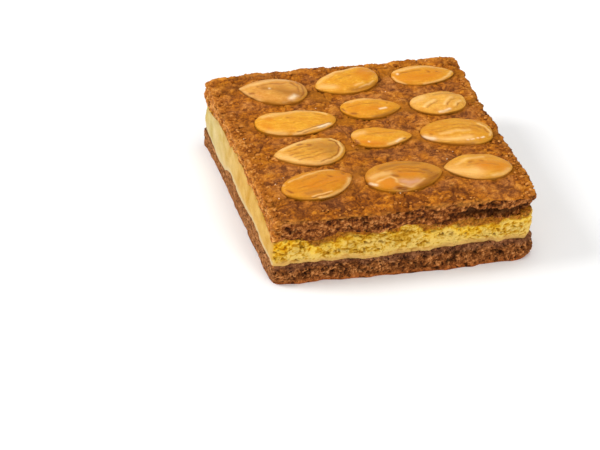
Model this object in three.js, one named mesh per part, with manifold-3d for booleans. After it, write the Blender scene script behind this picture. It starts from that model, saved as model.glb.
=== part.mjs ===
// A square of filled speculaas: two layers of spiced biscuit dough with almond paste between them, cut
// from a baked sheet, with four rows of three almonds pressed into the top. Millimetres, +Z up, resting
// on z = 0. +X runs along the crumbly front side, +Y towards the back. The smooth cut side faces -X.
import * as THREE from "three";
import { mergeVertices } from "three/addons/utils/BufferGeometryUtils.js";
import Module from "manifold-3d";

const wasm = await Module();
wasm.setup();

// ---- Driving dimensions ----
const WIDTH = 78; // along X
const DEPTH = 80.6; // along Y
const HEIGHT = 21.9; // table to the top of the dough
const FILLING_BOTTOM = 6.5; // mean height where the bottom crust meets the paste
const FILLING_TOP = 14.9; // mean height where the paste meets the top crust
const LAYER_GAP = 0.3; // clearance between pieces that touch
const CORNER_RADII = { frontLeft: 1.5, frontRight: 4.5, backLeft: 1.5, backRight: 5 };

const PLAN_STEP = 2.1; // spacing of the points over the top and round the sides
const ALMOND_SIDES = 12; // facets round an almond
const ALMOND_BANDS = 10; // bands along an almond
const ALMOND_RISE = 0.2; // how far an almond stands above the dough, as a share of its width
const ALMOND_LIFT = 0.3; // its widest level above the dough

// x, y: its middle; turn: degrees about Z; tip: 1 where the point is at the +X end, -1 at the -X end;
// point, blunt: how each end closes, from 0.5, round, to 0.8, sharp; bend: how far its middle lies towards
// +Y, in half widths
const ALMONDS = [
  { x: -20.7, y: 30.2, length: 21.0, width: 14.0, turn: -18, tip: -1, point: 0.83, blunt: 0.55, bend: -0.15 },
  { x: 2.9, y: 32.3, length: 21.4, width: 13.1, turn: 16, tip: -1, point: 0.6, blunt: 0.47, bend: -0.19 },
  { x: 27.7, y: 31.8, length: 20.1, width: 10.7, turn: -1, tip: 1, point: 0.64, blunt: 0.44, bend: -0.04 },
  { x: -18.8, y: 11.1, length: 24.8, width: 12.9, turn: -1, tip: 1, point: 0.52, blunt: 0.4, bend: -0.14 },
  { x: 5.7, y: 15.0, length: 18.7, width: 11.0, turn: -5, tip: 1, point: 0.76, blunt: 0.54, bend: -0.14 },
  { x: 26.6, y: 13.7, length: 17.5, width: 11.5, turn: 1, tip: -1, point: 0.45, blunt: 0.4, bend: -0.13 },
  { x: -19.3, y: -5.6, length: 21.9, width: 13.7, turn: 4, tip: -1, point: 0.76, blunt: 0.54, bend: -0.2 },
  { x: 4.1, y: -1.8, length: 18.4, width: 10.2, turn: -5, tip: 1, point: 0.76, blunt: 0.43, bend: -0.16 },
  { x: 26.9, y: -3.4, length: 21.8, width: 13.8, turn: -10, tip: -1, point: 0.51, blunt: 0.4, bend: 0.05 },
  { x: -21.9, y: -23.4, length: 22.9, width: 13.1, turn: 16, tip: 1, point: 0.67, blunt: 0.54, bend: -0.15 },
  { x: 4.0, y: -24.3, length: 23.5, width: 14.6, turn: 5, tip: 1, point: 0.61, blunt: 0.44, bend: -0.09 },
  { x: 26.7, y: -23.8, length: 20.4, width: 12.8, turn: -9, tip: -1, point: 0.73, blunt: 0.63, bend: 0 },
];

// ---- Seeded noise, smooth, from -1 to 1 ----
function cellValue(i, j, k) {
  let h = (Math.imul(i, 374761393) + Math.imul(j, 668265263) + Math.imul(k, 1440662683)) | 0;
  h = Math.imul(h ^ (h >>> 13), 1274126177);
  h = Math.imul(h ^ (h >>> 16), 2246822519);
  return ((h ^ (h >>> 15)) >>> 0) / 2147483648 - 1;
}

function noise(x, y, z, scale) {
  const p = [x / scale, y / scale, z / scale];
  const cell = p.map(Math.floor);
  const [u, v, w] = p.map((value, axis) => THREE.MathUtils.smoothstep(value - cell[axis], 0, 1));
  const corner = (a, b, c) => cellValue(cell[0] + a, cell[1] + b, cell[2] + c);
  const lerp = THREE.MathUtils.lerp;
  const row = (b, c) => lerp(corner(0, b, c), corner(1, b, c), u);
  return lerp(lerp(row(0, 0), row(1, 0), v), lerp(row(0, 1), row(1, 1), v), w);
}

// ---- The levels where the layers meet: long waves of the rolled dough ----
const wave = (distance, length, crest) => Math.cos((2 * Math.PI * (distance - crest)) / length);
const nearSide = (distance, reach) => THREE.MathUtils.clamp(1 - distance / reach, 0, 1);

function fillingBottom(x, y) {
  const leftSide = nearSide(WIDTH / 2 + x, 14) * (1 - nearSide(DEPTH / 2 + y, 10));
  const thinner = 2.4 / (1 + Math.exp((12.5 - y) / 1.2)); // along the left side, towards the back
  const corner = nearSide(WIDTH / 2 - x, 4) * nearSide(DEPTH / 2 + y, 8); // the front right one
  const leftWave = 0.7 + 0.5 * wave(y, 27, -17.5) - thinner;
  return FILLING_BOTTOM + 0.35 * wave(x, 62, 22) + leftSide * leftWave - 0.8 * corner;
}

function fillingTop(x, y) {
  const leftSide = nearSide(WIDTH / 2 + x, 18);
  const swell = 2.2 - 3.6 * ((y + 4) / 40) ** 2; // the paste is thickest in the middle of the left side
  return FILLING_TOP + 0.7 * wave(x, 19, -17.5) + 0.5 * wave(y, 22.5, 0) + leftSide * swell;
}

function doughTop(x, y) {
  const frontSide = nearSide(DEPTH / 2 + y, 25);
  const backSide = nearSide(DEPTH / 2 - y, 12);
  const bumps = 0.3 * noise(x, y, 80, 13) + 0.35 * noise(x, y, 90, 4.6);
  return HEIGHT - 0.3 + frontSide * 0.7 * wave(x, 50, 13) + 0.3 * backSide + bumps;
}

// ---- The plan, a grid whose edge is the outline: a rectangle with a radius for each corner ----
const COLUMNS = Math.round(WIDTH / PLAN_STEP);
const ROWS = Math.round(DEPTH / PLAN_STEP);

function cornerRadius(x, y) {
  const { frontLeft, frontRight, backLeft, backRight } = CORNER_RADII;
  if (y < 0) return x < 0 ? frontLeft : frontRight;
  return x < 0 ? backLeft : backRight;
}

// The point of the plan in column i and row j. Near a corner, squares are drawn in to quarter circles.
function planPoint(i, j) {
  const point = new THREE.Vector2((i / COLUMNS - 0.5) * WIDTH, (j / ROWS - 0.5) * DEPTH);
  const radius = cornerRadius(point.x, point.y);
  const start = new THREE.Vector2(WIDTH / 2 - radius, DEPTH / 2 - radius);
  const past = new THREE.Vector2(Math.abs(point.x), Math.abs(point.y)).sub(start);
  if (past.x <= 0 || past.y <= 0) return point;
  past.multiplyScalar(Math.max(past.x, past.y) / past.length());
  return start.add(past).multiply(new THREE.Vector2(Math.sign(point.x), Math.sign(point.y)));
}

function outlineCells() {
  const cells = [];
  for (let i = 0; i < COLUMNS; i++) cells.push([i, 0]);
  for (let j = 0; j < ROWS; j++) cells.push([COLUMNS, j]);
  for (let i = COLUMNS; i > 0; i--) cells.push([i, ROWS]);
  for (let j = ROWS; j > 0; j--) cells.push([0, j]);
  return cells;
}
const OUTLINE_CELLS = outlineCells();

// The outline's points, each with its direction out of the square
const OUTLINE = OUTLINE_CELLS.map((cell, n) => {
  const count = OUTLINE_CELLS.length;
  const before = planPoint(...OUTLINE_CELLS[(n + count - 1) % count]);
  const after = planPoint(...OUTLINE_CELLS[(n + 1) % count]);
  const along = after.sub(before).normalize();
  return { point: planPoint(...cell), out: new THREE.Vector2(along.y, -along.x) };
});

const facing = (out) => ({
  front: Math.max(0, -out.y),
  back: Math.max(0, out.y),
  left: Math.max(0, -out.x),
  right: Math.max(0, out.x),
});

// ---- Slabs, closed by rings of points round the sides and by two faces ----
// One ring: the outline pushed out by push(x, y, z, out), at the height that level(x, y) gives.
function ring(level, push) {
  return OUTLINE.map(({ point, out }) => {
    const z = level(point.x, point.y);
    const moved = point.clone().addScaledVector(out, push(point.x, point.y, z, out));
    return new THREE.Vector3(moved.x, moved.y, z);
  });
}

// The rings of a side, at these shares of the way from the lower level to the upper one
function sideRings(lower, upper, shares, push) {
  return shares.map((share) => {
    const level = (x, y) => THREE.MathUtils.lerp(lower(x, y), upper(x, y), share);
    return ring(level, (x, y, z, out) => push(x, y, z, out, share));
  });
}

function closedGeometry(points, index) {
  const geometry = new THREE.BufferGeometry();
  geometry.setAttribute("position", new THREE.Float32BufferAttribute(points.flatMap((p) => [...p]), 3));
  geometry.setIndex(index);
  return geometry;
}

// The triangles of the sides and of a fan over the bottom. Point 0 is the middle of the bottom, and
// ring r's points start at 1 + r * count.
function sideIndex(rings) {
  const count = OUTLINE.length;
  const index = [];
  for (let n = 0; n < count; n++) {
    const next = (n + 1) % count;
    index.push(0, 1 + next, 1 + n);
    for (let r = 0; r + 1 < rings.length; r++) {
      const [low, high] = [1 + r * count, 1 + (r + 1) * count];
      index.push(low + n, low + next, high + next, low + n, high + next, high + n);
    }
  }
  return index;
}

// A slab with a fan over its top as well
function fanSlab(rings, lower, upper) {
  const count = OUTLINE.length;
  const [bottomMiddle, topMiddle] = [lower, upper].map((level) => new THREE.Vector3(0, 0, level(0, 0)));
  const index = sideIndex(rings);
  const top = 1 + (rings.length - 1) * count;
  for (let n = 0; n < count; n++) index.push(top + n, top + ((n + 1) % count), top + count);
  return closedGeometry([bottomMiddle, ...rings.flat(), topMiddle], index);
}

// A slab whose top is the plan's grid, raised to the upper level
function reliefSlab(rings, lower, upper) {
  const points = [new THREE.Vector3(0, 0, lower(0, 0)), ...rings.flat()];
  const index = sideIndex(rings);
  const top = 1 + (rings.length - 1) * OUTLINE.length;
  const numberOf = new Map(OUTLINE_CELLS.map((cell, n) => [cell.join(), top + n]));
  for (let j = 1; j < ROWS; j++) {
    for (let i = 1; i < COLUMNS; i++) {
      const { x, y } = planPoint(i, j);
      numberOf.set([i, j].join(), points.length);
      points.push(new THREE.Vector3(x, y, upper(x, y)));
    }
  }
  for (let j = 0; j < ROWS; j++) {
    for (let i = 0; i < COLUMNS; i++) {
      const [a, b, c, d] = [[i, j], [i + 1, j], [i + 1, j + 1], [i, j + 1]].map((p) => numberOf.get(p.join()));
      // The diagonal runs along the outline at the front left and back right corners
      const falling = i + j < 2 || i + j > COLUMNS + ROWS - 4;
      index.push(...(falling ? [a, b, d, b, c, d] : [a, b, c, a, c, d]));
    }
  }
  return closedGeometry(points, index);
}

// ---- The three layers ----
const SHARES = [0, 0.2, 0.45, 0.75, 1];

function bottomCrust() {
  const table = () => 0;
  const upper = (x, y) => fillingBottom(x, y) - LAYER_GAP / 2;
  const rings = sideRings(table, upper, SHARES, (x, y, z, out, share) => {
    const side = facing(out);
    const back = side.left * 0.7 * nearSide(DEPTH / 2 - y, 12); // the left side stands out at its back end
    const frontFoot = 0.5 + 1.1 * Math.max(0, 1 - ((x - 14) / 32) ** 2);
    const foot = (side.right * 0.9 + side.front * frontFoot) * (1 - share);
    const cornersInFront = 1.4 * nearSide(WIDTH / 2 - x, 6) + 1.9 * nearSide(WIDTH / 2 + x, 8);
    const corners = side.front * cornersInFront + side.left * 0.8 * nearSide(DEPTH / 2 + y, 6);
    const frontRight = side.right * 1.1 * nearSide(DEPTH / 2 + y, 16);
    const under = 0.2 + 0.7 * (side.back + side.right) + corners; // how far the lower edge is rounded
    const torn = 1 - 0.6 * side.left; // the knife left the left side straighter
    const crags = torn * (0.5 * noise(x, y, z, 2.6) + 0.35 * noise(x, y, z, 6));
    return back + foot + frontRight - under * Math.max(0, 1 - share / 0.5) ** 2 - 0.1 + crags;
  });
  return fanSlab(rings, table, upper);
}

function filling() {
  const lower = (x, y) => fillingBottom(x, y) + LAYER_GAP / 2;
  const upper = (x, y) => fillingTop(x, y) - LAYER_GAP / 2;
  const rings = sideRings(lower, upper, SHARES, (x, y, z, out, share) => {
    const side = facing(out);
    const torn = 1 - 0.75 * side.left; // the knife left the left side smooth
    const bulge = (0.35 + 0.5 * side.right) * Math.sin(Math.PI * share);
    const inset = 0.6 - 0.55 * side.left - 0.3 * side.front - 0.5 * side.right;
    return bulge - inset + torn * (0.5 * noise(x, y, z, 2.4) + 0.35 * noise(x, y, z, 7));
  });
  return fanSlab(rings, lower, upper);
}

// The gap under the crust's skin along the right of the front side
const CRACK = { from: 12, to: 40, share: 0.34, reach: 0.28, depth: 2.6 };

function crackDepth(x, out, share) {
  const along = THREE.MathUtils.clamp((x - CRACK.from) / (CRACK.to - CRACK.from), 0, 1);
  const across = Math.max(0, 1 - ((share - CRACK.share) / CRACK.reach) ** 2);
  return facing(out).front * CRACK.depth * Math.sqrt(Math.sin(Math.PI * along)) * across;
}

// How far the baked dough spreads past the plan
function spread(x, y, side) {
  const back = side.back * (2.2 + 0.5 * wave(x, 50, -13) - 1.2 * nearSide(WIDTH / 2 - x, 12));
  const right = side.right * (1.5 + 0.7 * nearSide(DEPTH / 2 - y, 35));
  return back + right + side.front * 0.4 + side.left * 0.3;
}

// How far its front right corner is broken away, less so towards the skin
function brokenCorner(x, y, share) {
  return nearSide(WIDTH / 2 - x, 8) * nearSide(DEPTH / 2 + y, 8) * (3.3 - 2.4 * share);
}

function topCrustSlab() {
  const lower = (x, y) => fillingTop(x, y) + LAYER_GAP / 2;
  const edge = (x, y) => doughTop(x, y) - 0.2;
  const shares = [0, 0.25, 0.48, 0.7, 0.9];
  const rings = sideRings(lower, edge, shares, (x, y, z, out, share) => {
    const side = facing(out);
    const overhang = side.front * 0.5 * share;
    const crags = 0.6 * noise(x, y, z, 2.4) + 0.35 * noise(x, y, z, 6);
    const baked = spread(x, y, side) * Math.min(1, share / 0.25) + overhang;
    return baked + crags - 0.2 - crackDepth(x, out, share) - brokenCorner(x, y, share);
  });
  rings.push(ring(edge, (x, y, z, out) => spread(x, y, facing(out)) - 0.5 - brokenCorner(x, y, 1)));
  return reliefSlab(rings, lower, doughTop);
}

// ---- Almonds ----
// Half the width along the length, as a share of its greatest: s runs from -1, blunt end, to 1, tip.
function almondProfile({ point, blunt }) {
  const shape = (s) => (1 - s) ** point * (1 + s) ** blunt;
  const greatest = shape((blunt - point) / (blunt + point));
  const points = [];
  for (let band = 0; band <= ALMOND_BANDS; band++) {
    const s = -Math.cos((Math.PI * band) / ALMOND_BANDS);
    const atEnd = band === 0 || band === ALMOND_BANDS;
    points.push(new THREE.Vector2(atEnd ? 0 : shape(s) / greatest, s));
  }
  return points;
}

// Curves an almond, still 2 long and 2 wide with its tip at +X, in its own plane
function bendSideways(geometry, bend) {
  const position = geometry.getAttribute("position");
  for (let n = 0; n < position.count; n++) {
    position.setY(n, position.getY(n) + bend * (1 - position.getX(n) ** 2));
  }
}

// An almond in its place, or the room for it with that much clearance all round
function almondGeometry(almond, clearance = 0) {
  const { x, y, length, width, turn, tip, bend } = almond;
  const thickness = ALMOND_RISE * width - ALMOND_LIFT;
  const geometry = new THREE.LatheGeometry(almondProfile(almond), ALMOND_SIDES);
  geometry.rotateZ(-Math.PI / 2); // the profile's tip was along +Y
  bendSideways(geometry, tip * bend);
  geometry.scale(length / 2 + clearance, width / 2 + clearance, thickness + clearance);
  if (tip < 0) geometry.rotateZ(Math.PI);
  geometry.rotateZ(THREE.MathUtils.degToRad(turn));
  geometry.translate(x, y, doughTop(x, y) + ALMOND_LIFT);
  return geometry;
}

// ---- Cutting the almonds' places out of the top crust ----
function solidOf(geometry) {
  const bare = geometry.clone();
  bare.deleteAttribute("normal");
  bare.deleteAttribute("uv");
  const merged = mergeVertices(bare, 1e-4);
  return new wasm.Manifold(
    new wasm.Mesh({
      numProp: 3,
      vertProperties: new Float32Array(merged.attributes.position.array),
      triVerts: new Uint32Array(merged.index.array),
    }),
  );
}

function geometryOf(solid) {
  const mesh = solid.getMesh();
  const geometry = new THREE.BufferGeometry();
  geometry.setAttribute("position", new THREE.BufferAttribute(mesh.vertProperties, 3));
  geometry.setIndex(new THREE.BufferAttribute(mesh.triVerts, 1));
  return geometry;
}

function topCrust() {
  let solid = solidOf(topCrustSlab());
  for (const almond of ALMONDS) {
    solid = solid.subtract(solidOf(almondGeometry(almond, LAYER_GAP)));
  }
  return geometryOf(solid);
}

// ---- The scene graph ----
const MATERIALS = {
  topDough: { color: 0x9a5a26, roughness: 0.75 },
  bottomDough: { color: 0x7d4826, roughness: 0.85 },
  almondPaste: { color: 0xe6bf52, roughness: 0.7 },
  almond: { color: 0xe39a33, roughness: 0.35 },
};

function piece(name, geometry, finish) {
  geometry.computeVertexNormals();
  const mesh = new THREE.Mesh(geometry, new THREE.MeshStandardMaterial({ ...finish, metalness: 0 }));
  mesh.name = name;
  return mesh;
}

const speculaas = new THREE.Group();
speculaas.add(piece("bottom_crust", bottomCrust(), MATERIALS.bottomDough));
speculaas.add(piece("filling", filling(), MATERIALS.almondPaste));
speculaas.add(piece("top_crust", topCrust(), MATERIALS.topDough));
ALMONDS.forEach((almond, n) => {
  const name = `almond_${String(n + 1).padStart(2, "0")}`;
  speculaas.add(piece(name, almondGeometry(almond), MATERIALS.almond));
});

// The crags leave the box a little uneven, so the whole moves to stand centred on the origin.
const box = new THREE.Box3().setFromObject(speculaas, true);
const middle = box.getCenter(new THREE.Vector3());
speculaas.position.set(-middle.x, -middle.y, -box.min.z);

export default speculaas;
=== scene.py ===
"""A square of filled speculaas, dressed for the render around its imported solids.

Everything is worked out in millimetres in the plan of the square: its middle is the origin, +X runs
along the crumbly front side and +Y towards the back. PLAN_MIDDLE then puts it where the frame is.
"""

import itertools
import math

import bmesh
import bpy
import numpy as np
from mathutils import Matrix, Vector


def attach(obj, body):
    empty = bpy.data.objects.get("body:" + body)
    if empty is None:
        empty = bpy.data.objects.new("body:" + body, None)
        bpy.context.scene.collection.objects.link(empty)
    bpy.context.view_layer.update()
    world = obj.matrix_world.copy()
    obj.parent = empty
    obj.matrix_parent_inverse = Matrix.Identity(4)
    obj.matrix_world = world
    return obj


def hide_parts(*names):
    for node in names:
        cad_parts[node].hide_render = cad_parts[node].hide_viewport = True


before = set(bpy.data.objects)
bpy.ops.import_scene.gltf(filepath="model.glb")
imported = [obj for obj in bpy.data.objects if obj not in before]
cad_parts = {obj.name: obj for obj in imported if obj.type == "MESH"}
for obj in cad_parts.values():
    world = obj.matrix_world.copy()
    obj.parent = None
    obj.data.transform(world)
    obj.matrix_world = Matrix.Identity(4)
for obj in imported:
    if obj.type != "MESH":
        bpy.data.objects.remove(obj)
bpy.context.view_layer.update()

# ---- The square's sizes, as in the solids (mm) ----
WIDTH, DEPTH, HEIGHT = 78.0, 80.6, 21.9
FILLING_BOTTOM, FILLING_TOP = 6.5, 14.9
CORNER_RADII = (1.5, 4.5, 1.5, 5.0)  # front left, front right, back left, back right
ALMOND_RISE, ALMOND_LIFT = 0.2, 0.3  # the rise as a share of the width
# The crack in the front side: from and to along X, its level and reach as shares of the side's height
CRACK = {"from": 12.0, "to": 40.0, "share": 0.34, "reach": 0.26, "depth": 3.0}
PLAN_MIDDLE = np.array([-1.005, -0.626, 0.0])  # in the frame, whose origin is under the solids' middle

# x, y, length, width (mm), turn (degrees), tip (1 at the +X end), point and blunt (0.5 round, 0.8 sharp),
# bend (its middle towards +Y, in half widths)
ALMONDS = {
    "almond_01": (-20.7, 30.2, 21.0, 14.0, -18, -1, 0.83, 0.55, -0.15),
    "almond_02": (2.9, 32.3, 21.4, 13.1, 16, -1, 0.60, 0.47, -0.19),
    "almond_03": (27.7, 31.8, 20.1, 10.7, -1, 1, 0.64, 0.44, -0.04),
    "almond_04": (-18.8, 11.1, 24.8, 12.9, -1, 1, 0.52, 0.40, -0.14),
    "almond_05": (5.7, 15.0, 18.7, 11.0, -5, 1, 0.76, 0.54, -0.14),
    "almond_06": (26.6, 13.7, 17.5, 11.5, 1, -1, 0.45, 0.40, -0.13),
    "almond_07": (-19.3, -5.6, 21.9, 13.7, 4, -1, 0.76, 0.54, -0.20),
    "almond_08": (4.1, -1.8, 18.4, 10.2, -5, 1, 0.76, 0.43, -0.16),
    "almond_09": (26.9, -3.4, 21.8, 13.8, -10, -1, 0.51, 0.40, 0.05),
    "almond_10": (-21.9, -23.4, 22.9, 13.1, 16, 1, 0.67, 0.54, -0.15),
    "almond_11": (4.0, -24.3, 23.5, 14.6, 5, 1, 0.61, 0.44, -0.09),
    "almond_12": (26.7, -23.8, 20.4, 12.8, -9, -1, 0.73, 0.63, 0.0),
}

# ---- Marks on the almonds ----
# How deep each kind is sunk (mm), the colour that it brings and how strong that is
MARK_KINDS = {
    "groove": (0.14, "brown", 0.75),
    "line": (0.05, "brown", 0.5),
    # Ridges and whitish marks bring lighter skin, partly painted highlight where the almonds' edges catch the
    # lamps.
    "ridge": (-0.12, "pale_skin_and_painted_highlight", 1.1),
    "pale_skin_and_painted_highlight": (0.0, "pale_skin_and_painted_highlight", 0.8),
    # Painted highlights: near-white glints and streaks laid on as colour.
    "painted_highlight": (-0.03, "painted_highlight", 1.0),
    "spot": (0.08, "brown", 1.0),
    "warm": (0.0, "warm", 1.0),
    "dull": (0.03, "dull", 1.1),
    "facet": (0.3, "pink", 1.0),
    "bulge": (-0.3, "warm", 1.0),
    "brown": (0.0, "brown", 0.4),
    "notch": (0.6, "brown", 0.4),
    "hole": (0.7, "brown", 1.3),
}
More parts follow.
